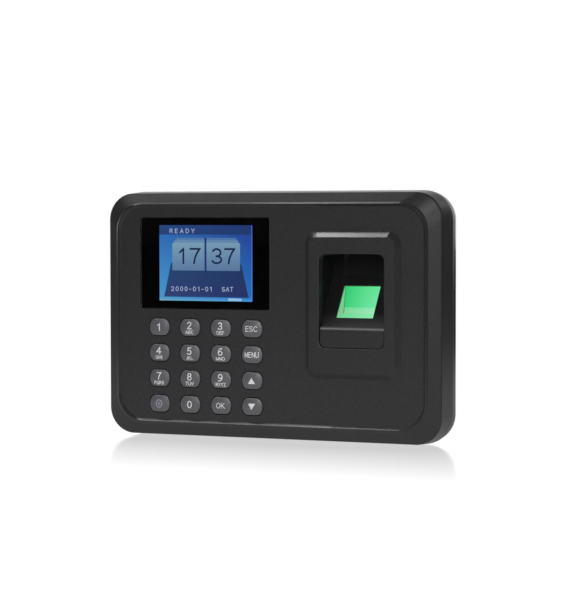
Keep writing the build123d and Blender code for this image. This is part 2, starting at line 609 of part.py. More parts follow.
# ---- Speaker ----
with BuildPart() as speaker_gasket:
    rods([SPEAKER], 11.6, 22.6, PLATE_FRONT)
    rods([SPEAKER], 10.0, 22.6, PLATE_FRONT, mode=Mode.SUBTRACT)
keep(speaker_gasket.part, "speaker_gasket")

with BuildPart() as speaker_frame:
    rods([SPEAKER], 11.5, 21.8, 22.6)
    cones([SPEAKER], 7.0, 10.5, 18.2, 21.9)
    rods([SPEAKER], 6.9, 15.2, 18.3)
    cones([SPEAKER], 5.2, 10.0, 18.6, 22.6, mode=Mode.SUBTRACT)
keep(speaker_frame.part, "speaker_frame")

with BuildPart() as speaker_cone:
    cones([SPEAKER], 4.9, 9.7, 18.7, 22.5)
    cones([SPEAKER], 4.4, 9.5, 19.0, 22.5, mode=Mode.SUBTRACT)
    cones([SPEAKER], 4.4, 3.0, 18.9, 20.6)
keep(speaker_cone.part, "speaker_cone")

with BuildPart() as speaker_lead:
    ribbon([(SPEAKER[0] - 6.9, 16.4), (49.0, 16.4), (28.0, 10.6), (SPEAKER_PLUG[1] - 2.0, 10.6)],
           1.0, SPEAKER[1] - 1.1, SPEAKER[1] + 1.1, 4.0)
keep(speaker_lead.part, "speaker_lead")


# ---- Fasteners ----
def pan_screws(screws, places, head_radius, head, shank_radius, seat, tip):
    """Pan-head screws driven forwards: the heads behind the seat, the tips in front."""
    rods(places, head_radius, seat, seat + head)
    fillet(screws.faces().group_by(Axis.Y)[-1].edges(), head * 0.35)
    rods(places, shank_radius, tip, seat + 0.1)
    for x, z in places:
        for box in ((x - head_radius * 0.55, x + head_radius * 0.55, z - 0.3, z + 0.3),
                    (x - 0.3, x + 0.3, z - head_radius * 0.55, z + head_radius * 0.55)):
            slab(box, seat + head * 0.45, seat + head + 0.1, mode=Mode.SUBTRACT)


with BuildPart() as housing_screws:
    pan_screws(housing_screws, HOUSING_SCREWS, 2.8, 2.1, 1.42, HEAD_SEAT, 6.5)
keep(housing_screws.part, "housing_screws")

with BuildPart() as board_screws:
    pan_screws(board_screws, BOARD_SCREWS, 2.2, 1.4, 1.03, BOARD_BACK, 3.6)
keep(board_screws.part, "board_screws")

with BuildPart() as guide_screws:
    pan_screws(guide_screws, GUIDE_SCREWS, 2.0, 1.3, 1.03, FLANGE[1], 0.0)
keep(guide_screws.part, "guide_screws")

with BuildPart() as cradle_screws:
    pan_screws(cradle_screws, SENSOR_SCREWS, 2.0, 1.2, 1.03, CRADLE_BACK, 11.5)
keep(cradle_screws.part, "cradle_screws")

with BuildPart() as sensor_board_screws:
    pan_screws(sensor_board_screws, board_screw_places, 1.5, 0.9, 0.83, SENSOR_BOARD_BACK, 12.0)
keep(sensor_board_screws.part, "sensor_board_screws")


# ---- Wall bracket: a pressed steel plate with four upturned tabs ----
TAB_THICK = 1.2
LIP_DEPTH = (19.1, 20.3)
LIP_HEIGHT = 4.0
with BuildPart() as wall_bracket:
    slab(BRACKET, BRACKET_DEPTH[0], BRACKET_DEPTH[1], 2.5)
    bracket_x = (BRACKET[0] + BRACKET[1]) / 2
    bracket_z = (BRACKET[2] + BRACKET[3]) / 2
    screw_places = []
    for side in (-1, 1):
        for level in (-1, 1):
            place = (bracket_x + side * WALL_SCREW_X / 2, bracket_z + level * WALL_SCREW_Z / 2)
            screw_places.append(place)
    rods(screw_places, 2.2, BRACKET_DEPTH[0], BRACKET_DEPTH[1], mode=Mode.SUBTRACT)
    for height in TAB_HEIGHTS:
        for side in (-1, 1):
            x0 = side * TAB_X - 4.0
            wedge(x0, x0 + 8.0, [
                (BRACKET_DEPTH[0] + 0.1, height),
                (LIP_DEPTH[0], height),
                (LIP_DEPTH[0], height + LIP_HEIGHT),
                (LIP_DEPTH[1], height + LIP_HEIGHT),
                (LIP_DEPTH[1], height + TAB_THICK),
                (BRACKET_DEPTH[0] + 0.1, height + TAB_THICK),
            ])
keep(wall_bracket.part, "wall_bracket")
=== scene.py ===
"""Fingerprint scanner terminal: materials, key legends, the lit picture and prism, studio, camera.

Lengths are in millimetres where a helper multiplies them by MM, and in metres where they are set
on a shader node, a light or the camera.
"""

import json
import math

import bmesh
import bpy
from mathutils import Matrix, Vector

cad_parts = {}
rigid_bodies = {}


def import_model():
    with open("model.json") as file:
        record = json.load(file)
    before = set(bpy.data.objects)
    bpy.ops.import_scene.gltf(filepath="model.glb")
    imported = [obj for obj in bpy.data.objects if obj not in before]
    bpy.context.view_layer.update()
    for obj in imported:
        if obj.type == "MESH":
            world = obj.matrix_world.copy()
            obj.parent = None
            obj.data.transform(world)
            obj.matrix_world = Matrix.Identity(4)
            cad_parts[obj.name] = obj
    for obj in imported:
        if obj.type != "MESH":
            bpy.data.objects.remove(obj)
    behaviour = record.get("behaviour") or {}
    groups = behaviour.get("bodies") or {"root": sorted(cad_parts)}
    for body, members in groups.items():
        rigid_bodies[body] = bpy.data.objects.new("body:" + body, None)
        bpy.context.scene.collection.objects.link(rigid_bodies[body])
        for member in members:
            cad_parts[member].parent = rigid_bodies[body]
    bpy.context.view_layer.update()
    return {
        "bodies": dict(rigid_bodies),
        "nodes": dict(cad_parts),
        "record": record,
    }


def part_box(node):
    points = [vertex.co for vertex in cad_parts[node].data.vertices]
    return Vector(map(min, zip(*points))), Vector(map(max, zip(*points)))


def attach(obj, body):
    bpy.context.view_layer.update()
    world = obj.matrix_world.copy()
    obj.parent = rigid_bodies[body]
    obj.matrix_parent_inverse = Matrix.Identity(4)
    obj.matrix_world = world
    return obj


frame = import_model()
MM = 0.001

# Sizes repeated from the model, in millimetres
KEY_CROWN = 18.0  # radius of the crown that the legends follow
LENS_DEPTH = 0.4  # the lens lies this far behind the front panel

PANEL_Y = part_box("screen_lens")[0].y / MM - LENS_DEPTH


# ---------------------------------------------------------------- mesh helpers
def new_object(name, mesh, body, finish):
    """A named piece that rides on a body."""
    piece = bpy.data.objects.new(name, mesh)
    bpy.context.scene.collection.objects.link(piece)
    mesh.materials.append(finish)
    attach(piece, body)
    return piece


def plate_mesh(name, outlines, y, thickness, surface=None):
    """Closed thin plates facing forward. Each outline is a list of (x, z) corners, in millimetres.
    surface(x, z) moves a corner back from y, so that print can follow a curved face."""
    mesh = bpy.data.meshes.new(name)
    bm = bmesh.new()
    for outline in outlines:
        if signed_area(outline) < 0:
            outline = outline[::-1]
        front = []
        back = []
        for x, z in outline:
            at = y + (surface(x, z) if surface else 0.0)
            front.append(bm.verts.new((x * MM, at * MM, z * MM)))
            back.append(bm.verts.new((x * MM, (at + thickness) * MM, z * MM)))
        bm.faces.new(front)
        bm.faces.new(back[::-1])
        for k in range(len(front)):
            n = (k + 1) % len(front)
            bm.faces.new((front[k], back[k], back[n], front[n]))
    bm.to_mesh(mesh)
    bm.free()
    return mesh


def rectangle(x0, x1, z0, z1):
    """An outline with square corners."""
    return [(x0, z0), (x1, z0), (x1, z1), (x0, z1)]


def side_mesh(name, outline, x, thickness):
    """A closed thin plate facing sideways, from an outline of (y, z) corners, in millimetres."""
    mesh = bpy.data.meshes.new(name)
    bm = bmesh.new()
    left = [bm.verts.new((x * MM, y * MM, z * MM)) for y, z in outline]
    right = [bm.verts.new(((x + thickness) * MM, y * MM, z * MM)) for y, z in outline]
    bm.faces.new(left[::-1])
    bm.faces.new(right)
    for k in range(len(outline)):
        n = (k + 1) % len(outline)
        bm.faces.new((left[k], left[n], right[n], right[k]))
    bm.to_mesh(mesh)
    bm.free()
    return mesh


def signed_area(outline):
    """Twice the area of an outline, positive when it runs anticlockwise seen from the front."""
    total = 0.0
    for k, (x, z) in enumerate(outline):
        nx, nz = outline[(k + 1) % len(outline)]
        total += x * nz - nx * z
    return total


def arc(cx, cz, rx, rz, start, end, steps):
    """Points on an elliptical arc, angles in degrees."""
    points = []
    for k in range(steps + 1):
        a = math.radians(start + (end - start) * k / steps)
        points.append((cx + rx * math.cos(a), cz + rz * math.sin(a)))
    return points


def rounded(x0, x1, z0, z1, r, corners):
    """A rectangle whose named corners are rounded: a upper right, b upper left, then c and d."""
    points = []
    for tag, cx, cz, start in (("a", x1 - r, z1 - r, 0), ("b", x0 + r, z1 - r, 90),
                               ("c", x0 + r, z0 + r, 180), ("d", x1 - r, z0 + r, 270)):
        if tag in corners:
            points += arc(cx, cz, r, r, start, start + 90, 6)
        else:
            points.append((x1 if tag in "ad" else x0, z1 if tag in "ab" else z0))
    return points


# ---------------------------------------------------------------- stroke lettering
def stroke_glyphs():
    """Single-line letters and numbers on a cap height of 1: each is (width, strokes)."""
    round_o = arc(0.36, 0.5, 0.36, 0.5, 90, 450, 24)
    return {
        "0": (0.56, [arc(0.28, 0.5, 0.28, 0.5, 90, 450, 24)]),
        "1": (0.42, [[(0.06, 0.76), (0.32, 1.0), (0.32, 0.0)]]),
        "2": (0.56, [arc(0.27, 0.72, 0.26, 0.28, 165, -30, 12) + [(0.02, 0.0), (0.56, 0.0)]]),
        "3": (0.56, [arc(0.26, 0.745, 0.24, 0.255, 155, -90, 12),
                     arc(0.26, 0.245, 0.28, 0.245, 90, -155, 12)]),
        "4": (0.6, [[(0.44, 0.0), (0.44, 1.0), (0.0, 0.28), (0.6, 0.28)]]),
        "5": (0.56, [[(0.5, 1.0), (0.12, 1.0), (0.05, 0.5)]
                     + arc(0.26, 0.31, 0.28, 0.31, 130, -150, 12)]),
        "6": (0.56, [arc(0.28, 0.3, 0.27, 0.3, 90, 450, 20),
                     arc(0.4, 0.4, 0.39, 0.6, 75, 190, 10)]),
        "7": (0.56, [[(0.0, 1.0), (0.56, 1.0), (0.4, 0.72), (0.27, 0.36), (0.22, 0.0)]]),
        "8": (0.56, [arc(0.28, 0.76, 0.22, 0.24, 90, 450, 18),
                     arc(0.28, 0.26, 0.27, 0.26, 90, 450, 18)]),
        "9": (0.56, [arc(0.28, 0.7, 0.27, 0.3, 90, 450, 20),
                     arc(0.16, 0.6, 0.39, 0.6, -105, 10, 10)]),
        "-": (0.4, [[(0.04, 0.42), (0.36, 0.42)]]),
        "A": (0.7, [[(0.0, 0.0), (0.35, 1.0), (0.7, 0.0)], [(0.13, 0.34), (0.57, 0.34)]]),
        "B": (0.6, [[(0.0, 0.52), (0.34, 0.52)] + arc(0.34, 0.26, 0.26, 0.26, 90, -90, 8)
                    + [(0.0, 0.0), (0.0, 1.0), (0.32, 1.0)]
                    + arc(0.32, 0.76, 0.23, 0.24, 90, -90, 8)]),
        "C": (0.68, [arc(0.36, 0.5, 0.36, 0.5, 42, 318, 18)]),
        "D": (0.66, [[(0.0, 0.0), (0.0, 1.0), (0.26, 1.0)] + arc(0.26, 0.5, 0.4, 0.5, 90, -90, 12)
                     + [(0.0, 0.0)]]),
        "E": (0.54, [[(0.54, 0.0), (0.0, 0.0), (0.0, 1.0), (0.54, 1.0)], [(0.0, 0.52), (0.48, 0.52)]]),
        "F": (0.5, [[(0.0, 0.0), (0.0, 1.0), (0.5, 1.0)], [(0.0, 0.5), (0.44, 0.5)]]),
        "G": (0.72, [arc(0.36, 0.5, 0.36, 0.5, 42, 350, 20) + [(0.7, 0.46), (0.4, 0.46)]]),
        "H": (0.62, [[(0.0, 0.0), (0.0, 1.0)], [(0.62, 0.0), (0.62, 1.0)], [(0.0, 0.52), (0.62, 0.52)]]),
        "I": (0.06, [[(0.03, 0.0), (0.03, 1.0)]]),
        "J": (0.42, [[(0.42, 1.0), (0.42, 0.26)] + arc(0.21, 0.24, 0.21, 0.24, 0, -180, 10)]),
        "K": (0.6, [[(0.0, 0.0), (0.0, 1.0)], [(0.58, 1.0), (0.0, 0.38)], [(0.2, 0.6), (0.6, 0.0)]]),
        "L": (0.5, [[(0.0, 1.0), (0.0, 0.0), (0.5, 0.0)]]),
        "M": (0.74, [[(0.0, 0.0), (0.0, 1.0), (0.37, 0.1), (0.74, 1.0), (0.74, 0.0)]]),
        "N": (0.62, [[(0.0, 0.0), (0.0, 1.0), (0.62, 0.0), (0.62, 1.0)]]),
        "O": (0.72, [round_o]),
        "P": (0.56, [[(0.0, 0.0), (0.0, 1.0), (0.3, 1.0)] + arc(0.3, 0.73, 0.26, 0.27, 90, -90, 8)
                     + [(0.0, 0.46)]]),
        "Q": (0.74, [round_o, [(0.44, 0.26), (0.72, -0.04)]]),
        "R": (0.62, [[(0.0, 0.0), (0.0, 1.0), (0.32, 1.0)] + arc(0.32, 0.74, 0.26, 0.26, 90, -90, 8)
                     + [(0.0, 0.48)], [(0.32, 0.48), (0.62, 0.0)]]),
        "S": (0.6, [arc(0.3, 0.75, 0.27, 0.25, 30, 250, 12) + arc(0.3, 0.26, 0.29, 0.26, 80, -155, 12)]),
        "T": (0.6, [[(0.0, 1.0), (0.6, 1.0)], [(0.3, 1.0), (0.3, 0.0)]]),
        "U": (0.62, [[(0.0, 1.0), (0.0, 0.32)] + arc(0.31, 0.32, 0.31, 0.32, 180, 360, 12)
                     + [(0.62, 1.0)]]),
        "V": (0.66, [[(0.0, 1.0), (0.33, 0.0), (0.66, 1.0)]]),
        "W": (0.92, [[(0.0, 1.0), (0.23, 0.0), (0.46, 1.0), (0.69, 0.0), (0.92, 1.0)]]),
        "X": (0.64, [[(0.0, 0.0), (0.64, 1.0)], [(0.0, 1.0), (0.64, 0.0)]]),
        "Y": (0.66, [[(0.0, 1.0), (0.33, 0.46), (0.66, 1.0)], [(0.33, 0.46), (0.33, 0.0)]]),
        "Z": (0.6, [[(0.0, 1.0), (0.6, 1.0), (0.0, 0.0), (0.6, 0.0)]]),
    }


GLYPHS = stroke_glyphs()
SHARPEST_MITRE = 0.55  # a ribbon's corner isn't drawn out further than one over this


def ribbon_quads(points, width, step):
    """Quads along a line of (x, z) points, mitred at its corners and cut into short steps."""
    dense = [points[0]]
    for (x0, z0), (x1, z1) in zip(points, points[1:]):
        pieces = max(1, math.ceil(math.dist((x0, z0), (x1, z1)) / step))
        for k in range(1, pieces + 1):
            dense.append((x0 + (x1 - x0) * k / pieces, z0 + (z1 - z0) * k / pieces))
    closed = math.dist(points[0], points[-1]) < 1e-6
    sides = []
    last = len(dense) - 1
    for k, (x, z) in enumerate(dense):
        before = dense[k - 1] if k else (dense[-2] if closed else None)
        after = dense[k + 1] if k < last else (dense[1] if closed else None)
        directions = []
        if before:
            directions.append(Vector((x - before[0], z - before[1])).normalized())
        if after:
            directions.append(Vector((after[0] - x, after[1] - z)).normalized())
        along = sum(directions, Vector((0.0, 0.0)))
        along = along.normalized() if along.length > 1e-6 else directions[0]
        bend = max(SHARPEST_MITRE, along.dot(directions[0]))
        side = Vector((-along.y, along.x)) * (width / 2 / bend)
        if not closed and k in (0, last):
            push = along * (width / 2) * (1 if k else -1)
            x, z = x + push.x, z + push.y
        sides.append(((x + side.x, z + side.y), (x - side.x, z - side.y)))
    return [[a0, b0, b1, a1] for (a0, b0), (a1, b1) in zip(sides, sides[1:])]


def text_quads(text, centre, height, weight, gap=0.22, squeeze=1.0, step=0.5):
    """Quads of a line of lettering about its centre, sizes in millimetres."""
    widths = [GLYPHS[c][0] for c in text]
    total = (sum(widths) + gap * (len(text) - 1)) * height * squeeze
    inner = height - weight
    x = centre[0] - total / 2
    quads = []
    for c, w in zip(text, widths):
        for stroke in GLYPHS[c][1]:
            placed = [(x + px * height * squeeze, centre[1] - inner / 2 + pz * inner)
                      for px, pz in stroke]
            quads += ribbon_quads(placed, weight, step)
        x += (w + gap) * height * squeeze
    return quads


# ---------------------------------------------------------------- material helpers
METAL_GRAIN = 0.0006  # metres across one cell of a metal's texture
BROAD_MOTTLE = 60.0  # cells in a metre of the slow change in gloss


def material(name):
    """A material with its Principled shader, ready to be filled in."""
    made = bpy.data.materials.new(name)
    made.use_nodes = True
    nodes = made.node_tree.nodes
    return made, nodes, made.node_tree.links, nodes["Principled BSDF"]


def noise(nodes, links, scale, detail, roughness=0.5):
    """A noise texture in the part's own space, its cells one over scale metres across."""
    where = nodes.new("ShaderNodeTexCoord")
    texture = nodes.new("ShaderNodeTexNoise")
    texture.inputs["Scale"].default_value = scale
    texture.inputs["Detail"].default_value = detail
    texture.inputs["Roughness"].default_value = roughness
    links.new(where.outputs["Object"], texture.inputs["Vector"])
    return texture.outputs["Fac"]


def ramp(nodes, links, value, low, high, start=0.3, end=0.7):
    """Turns a 0 to 1 value into a colour between two colours."""
    node = nodes.new("ShaderNodeValToRGB")
    node.color_ramp.elements[0].position = start
    node.color_ramp.elements[1].position = end
    node.color_ramp.elements[0].color = (*low, 1.0)
    node.color_ramp.elements[1].color = (*high, 1.0)
    links.new(value, node.inputs["Fac"])
    return node.outputs["Color"]


def span(nodes, links, value, low, high):
    """Maps a 0 to 1 value onto a range."""
    node = nodes.new("ShaderNodeMapRange")
    node.inputs["To Min"].default_value = low
    node.inputs["To Max"].default_value = high
    links.new(value, node.inputs["Value"])
    return node.outputs["Result"]


def soft_step(nodes, links, value, start, end):
    """Runs smoothly from 0 at start to 1 at end."""
    node = nodes.new("ShaderNodeMapRange")
    node.interpolation_type = "SMOOTHSTEP"
    node.inputs["From Min"].default_value = start
    node.inputs["From Max"].default_value = end
    links.new(value, node.inputs["Value"])
    return node.outputs["Result"]


def reckon(nodes, links, operation, first, second):
    """A math node over values or numbers."""
    node = nodes.new("ShaderNodeMath")
    node.operation = operation
    for k, term in enumerate((first, second)):
        if isinstance(term, float):
            node.inputs[k].default_value = term
        else:
            links.new(term, node.inputs[k])
    return node.outputs["Value"]


def bump(nodes, links, height, strength, distance, below=None):
    """A bump node over an optional coarser one."""
    node = nodes.new("ShaderNodeBump")
    node.inputs["Strength"].default_value = strength
    node.inputs["Distance"].default_value = distance
    links.new(height, node.inputs["Height"])
    if below:
        links.new(below, node.inputs["Normal"])
    return node.outputs["Normal"]


def plastic(name, colour, roughness, spread=0.12, grain=0.0003, depth=0.00002, strength=0.25,
            specular=0.5, speck=0.25):
    """Moulded plastic: colour, gloss and surface all vary with the spark-eroded grain."""
    made, nodes, links, shader = material(name)
    fine = noise(nodes, links, 1 / grain, 3.0, 0.6)
    broad = noise(nodes, links, BROAD_MOTTLE, 3.0)
    dark = tuple(c * (1 - speck) for c in colour)
    light = tuple(c * (1 + speck) for c in colour)
    links.new(ramp(nodes, links, fine, dark, light), shader.inputs["Base Color"])
    links.new(span(nodes, links, broad, roughness - spread / 2, roughness + spread / 2),
              shader.inputs["Roughness"])
    soft = bump(nodes, links, broad, 0.05, 0.0002)
    links.new(bump(nodes, links, fine, strength, depth, soft), shader.inputs["Normal"])
    shader.inputs["Specular IOR Level"].default_value = specular
    return made


def metal(name, colour, roughness):
    """Bare or plated metal with a faint rolled texture."""
    made, nodes, links, shader = material(name)
    texture = noise(nodes, links, 1 / METAL_GRAIN, 4.0)
    shader.inputs["Metallic"].default_value = 1.0
    dark = tuple(c * 0.85 for c in colour)
    links.new(ramp(nodes, links, texture, dark, colour), shader.inputs["Base Color"])
    links.new(span(nodes, links, texture, roughness * 0.8, roughness * 1.25),
              shader.inputs["Roughness"])
    links.new(bump(nodes, links, texture, 0.15, 0.00001), shader.inputs["Normal"])
    return made


def place_split(nodes, links, space):
    """The X, Y and Z of a point, in the piece's Object or Generated space."""
    where = nodes.new("ShaderNodeTexCoord")
    split = nodes.new("ShaderNodeSeparateXYZ")
    links.new(where.outputs[space], split.inputs["Vector"])
    return split


def glowing(name, corners, strength=1.0):
    """A lit patch whose colour runs between four corner colours: lower left, lower right, upper
    left and upper right, across the piece's own box."""
    made, nodes, links, shader = material(name)
    split = place_split(nodes, links, "Generated")
    rows = []
    for left, right in (corners[:2], corners[2:]):
        rows.append(ramp(nodes, links, split.outputs["X"], left, right, 0.0, 1.0))
    mix = nodes.new("ShaderNodeMix")
    mix.data_type = "RGBA"
    links.new(split.outputs["Z"], mix.inputs["Factor"])
    links.new(rows[0], mix.inputs["A"])
    links.new(rows[1], mix.inputs["B"])
    links.new(mix.outputs["Result"], shader.inputs["Emission Color"])
    shader.inputs["Emission Strength"].default_value = strength
    shader.inputs["Base Color"].default_value = (0.0, 0.0, 0.0, 1.0)
    shader.inputs["Specular IOR Level"].default_value = 0.0
    return made


def screen_rgb(r, g, b):
    """A display colour, 0 to 255, as linear light."""
    out = []
    for c in (r, g, b):
        c /= 255
        out.append(c / 12.92 if c <= 0.04045 else ((c + 0.055) / 1.055) ** 2.4)
    return tuple(out)


def flat_glow(name, colour, strength=1.0):
    """A lit patch of nearly one colour."""
    shade = tuple(c * 0.96 for c in colour)
    return glowing(name, (shade, colour, colour, colour), strength)


def clear(name, colour, ior):
    """Clear glass or acrylic with a trace of surface variation."""
    made, nodes, links, shader = material(name)
    shader.inputs["Base Color"].default_value = (*colour, 1.0)
    shader.inputs["Transmission Weight"].default_value = 1.0
    shader.inputs["IOR"].default_value = ior
    smudge = noise(nodes, links, 150.0, 3.0)
    links.new(span(nodes, links, smudge, 0.0, 0.03), shader.inputs["Roughness"])
    return made


# ---------------------------------------------------------------- materials of the CAD nodes
CREST_ROUGHNESS = 0.16  # of the bead's crest
CHAMFER_ROUGHNESS = 0.12  # of the pad's upper chamfer
DEEP_ROUGHNESS = 0.1  # of the recess behind the finger opening
DEEP = (2.0, 5.0)  # depths behind the panel, in millimetres, between which that takes over
BEAD_INSET = 0.009  # the bead lies within this distance of the shell's outline, in metres


def circuit_board_material():
    """Green solder mask over copper tracks that show as faint raised lines."""
    made, nodes, links, shader = material("circuit_board")
    where = nodes.new("ShaderNodeTexCoord")
    bricks = nodes.new("ShaderNodeTexBrick")
    turn = nodes.new("ShaderNodeMapping")
    turn.inputs["Rotation"].default_value = (math.pi / 2, 0.0, 0.0)
    bricks.inputs["Scale"].default_value = 260.0
    bricks.inputs["Mortar Size"].default_value = 0.06
    bricks.inputs["Color1"].default_value = (0.012, 0.11, 0.04, 1.0)
    bricks.inputs["Color2"].default_value = (0.016, 0.14, 0.05, 1.0)
    bricks.inputs["Mortar"].default_value = (0.03, 0.2, 0.07, 1.0)
    links.new(where.outputs["Object"], turn.inputs["Vector"])
    links.new(turn.outputs["Vector"], bricks.inputs["Vector"])
    links.new(bricks.outputs["Color"], shader.inputs["Base Color"])
    links.new(bump(nodes, links, bricks.outputs["Fac"], 0.3, 0.00003), shader.inputs["Normal"])
    shader.inputs["Roughness"].default_value = 0.3
    return made


def inside_box(nodes, links, split, limits):
    """A mask, 1 inside soft limits and 0 outside. Each limit is an axis, where the mask is 0 and
    where it reaches 1."""
    mask = None
    for axis, start, end in limits:
        side = soft_step(nodes, links, split.outputs[axis], start, end)
        mask = reckon(nodes, links, "MULTIPLY", mask, side) if mask else side
    return mask


def smoother(nodes, links, rough, smooth, mask):
    """A roughness that turns into the number smooth where the mask is 1."""
    mix = nodes.new("ShaderNodeMix")
    links.new(mask, mix.inputs["Factor"])
    links.new(rough, mix.inputs["A"])
    mix.inputs["B"].default_value = smooth
    return mix.outputs["Result"]


def guide_material():
    """Satin black plastic, smoother deep inside the recess."""
    made = plastic("guide_plastic", (0.014, 0.014, 0.015), 0.3, 0.05, grain=0.0002, strength=0.1,
                   specular=1.0)
    nodes, links = made.node_tree.nodes, made.node_tree.links
    shader = nodes["Principled BSDF"]
    rough = shader.inputs["Roughness"].links[0].from_socket
    split = place_split(nodes, links, "Object")
    start, end = ((PANEL_Y + depth) * MM for depth in DEEP)
    deep = soft_step(nodes, links, split.outputs["Y"], start, end)
    links.new(smoother(nodes, links, rough, DEEP_ROUGHNESS, deep), shader.inputs["Roughness"])
    return made


def front_shell_material():
    """Grained black plastic, polished on the upper chamfer of the raised pad and smoother along
    the crest of the bead."""
    made = plastic("front_shell", (0.034, 0.034, 0.0355), 0.29, 0.06, grain=0.0005, strength=0.3,
                   speck=0.35)
    nodes, links = made.node_tree.nodes, made.node_tree.links
    shader = nodes["Principled BSDF"]
    rough = shader.inputs["Roughness"].links[0].from_socket
    split = place_split(nodes, links, "Object")
    low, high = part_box("front_housing")
    panel = PANEL_Y * MM
    edge = BEAD_INSET
    # the raised pad's upper chamfer, and the field that the bead surrounds
    chamfer = inside_box(nodes, links, split, (
        ("Y", low.y + 0.0001, low.y + 0.0002), ("Y", panel - 0.0001, panel - 0.0002),
        ("X", 0.0195, 0.0255), ("X", 0.0675, 0.067), ("Z", 0.091, 0.096), ("Z", 0.1012, 0.1008)))
    field = inside_box(nodes, links, split, (
        ("X", low.x + edge - 0.0002, low.x + edge), ("X", high.x - edge + 0.0002, high.x - edge),
        ("Z", low.z + edge - 0.0002, low.z + edge), ("Z", high.z - edge + 0.0002, high.z - edge)))
    proud = soft_step(nodes, links, split.outputs["Y"], panel - 0.0004, panel - 0.0007)
    crest = reckon(nodes, links, "MULTIPLY", proud, reckon(nodes, links, "SUBTRACT", 1.0, field))
    for mask, smooth in ((chamfer, CHAMFER_ROUGHNESS), (crest, CREST_ROUGHNESS)):
        rough = smoother(nodes, links, rough, smooth, mask)
    links.new(rough, shader.inputs["Roughness"])
    return made


def finishes():
    """One material for each of the record's slots."""
    return {
        "front_shell": front_shell_material(),
        "rear_shell": plastic("rear_shell", (0.03, 0.03, 0.0315), 0.14, 0.04, strength=0.08),
        "guide_plastic": guide_material(),
        "inner_plastic": plastic("inner_plastic", (0.02, 0.02, 0.02), 0.5),
        "key_caps": plastic("key_caps", (0.12, 0.12, 0.133), 0.36, grain=0.0002, strength=0.1,
                            speck=0.12, specular=1.0),
        "lens": clear("lens", (0.98, 0.98, 0.98), 1.49),
        "display": plastic("display", (0.004, 0.004, 0.006), 0.15, grain=0.0001, strength=0.02),
        "light_guide": plastic("light_guide", (0.75, 0.76, 0.78), 0.35, strength=0.1, speck=0.03),
        "polyimide": plastic("polyimide", (0.42, 0.14, 0.02), 0.3, grain=0.0008, strength=0.1),
        "silicone": plastic("silicone", (0.4, 0.41, 0.43), 0.55, grain=0.0004, speck=0.06),
        "circuit_board": circuit_board_material(),
        "chip_epoxy": plastic("chip_epoxy", (0.014, 0.014, 0.015), 0.45, grain=0.00015),
        "capacitor_can": metal("capacitor_can", (0.7, 0.71, 0.73), 0.25),
        "connector_nylon": plastic("connector_nylon", (0.72, 0.68, 0.56), 0.4, speck=0.05),
        "steel_bright": metal("steel_bright", (0.6, 0.6, 0.58), 0.28),
        "steel_dark": metal("steel_dark", (0.05, 0.05, 0.055), 0.38),
        "brass_pin": metal("brass_pin", (0.65, 0.48, 0.2), 0.25),
        "prism_glass": clear("prism_glass", (0.93, 1.0, 0.95), 1.5),
        "lamp_resin": flat_glow("lamp_resin", (0.1, 0.8, 0.3), 2.0),
        "cable_white": plastic("cable_white", (0.72, 0.72, 0.7), 0.4, grain=0.0008, speck=0.04),
        "cable_black": plastic("cable_black", (0.015, 0.015, 0.015), 0.5),
        "foam": plastic("foam", (0.02, 0.02, 0.02), 0.9, grain=0.0005, strength=0.8, depth=0.0001),
        "cone_film": plastic("cone_film", (0.03, 0.03, 0.032), 0.4, grain=0.0006),
        "bracket_steel": plastic("bracket_steel", (0.045, 0.045, 0.047), 0.5, grain=0.0007,
                                 strength=0.5, depth=0.00005),
    }


FINISH = finishes()


def dress_nodes():
    """Gives every CAD node its slot's material."""
    slot_of = {s["node"]: s["material_slot"] for s in frame["record"]["subparts"]}
    for name, node in frame["nodes"].items():
        finish = FINISH[slot_of[name]]
        if not node.material_slots:
            node.data.materials.append(finish)
        for slot in node.material_slots:
            slot.material = finish


# ---------------------------------------------------------------- key legends
LEGENDS = {
    "key_1": ("1", ""), "key_2": ("2", "ABC"), "key_3": ("3", "DEF"), "key_esc": ("", "ESC"),
    "key_4": ("4", "GHI"), "key_5": ("5", "JKL"), "key_6": ("6", "MNO"), "key_menu": ("", "MENU"),
    "key_7": ("7", "PQRS"), "key_8": ("8", "TUV"), "key_9": ("9", "WXYZ"),
    "key_0": ("0", ""), "key_ok": ("", "OK"),
}
DIGIT_HEIGHT = 3.6
DIGIT_WEIGHT = 0.46
DIGIT_LIFT = 1.05  # above the key's centre, where letters stand below it
LETTER_HEIGHT = 1.75
LETTER_WEIGHT = 0.25
LETTER_DROP = 2.25
WORD_HEIGHT = 2.7
WORD_WEIGHT = 0.33
ARROW = (1.84, 1.5)  # half the width of an arrow and half its height
RING = (1.45, 1.75)  # half the width and half the height of the power sign's ring
RING_WEIGHT = 0.6
ARROW_ROWS = 8
ARROW_COLUMNS = 8
INK = 0.02  # how far the print stands proud of the key
INK_THICK = 0.06
PRINT_STEP = 0.4  # longest piece of print that still follows the crown


def arrow_quads(cx, cz, way):
    """A filled arrow that points up where way is 1 and down where it is -1, cut into small cells
    that narrow towards its tip."""
    wide, high = ARROW
    quads = []
    for row in range(ARROW_ROWS):
        z0 = cz + way * high * (2 * row / ARROW_ROWS - 1)
        z1 = cz + way * high * (2 * (row + 1) / ARROW_ROWS - 1)
        foot = 1 - row / ARROW_ROWS
        head = 1 - (row + 1) / ARROW_ROWS
        for column in range(ARROW_COLUMNS):
            x0 = wide * (2 * column / ARROW_COLUMNS - 1)
            x1 = wide * (2 * (column + 1) / ARROW_COLUMNS - 1)
            cell = [(cx + x0 * foot, z0), (cx + x1 * foot, z0)]
            if head:
                cell += [(cx + x1 * head, z1), (cx + x0 * head, z1)]
            else:
                cell.append((cx, z1))
            quads.append(cell)
    return quads


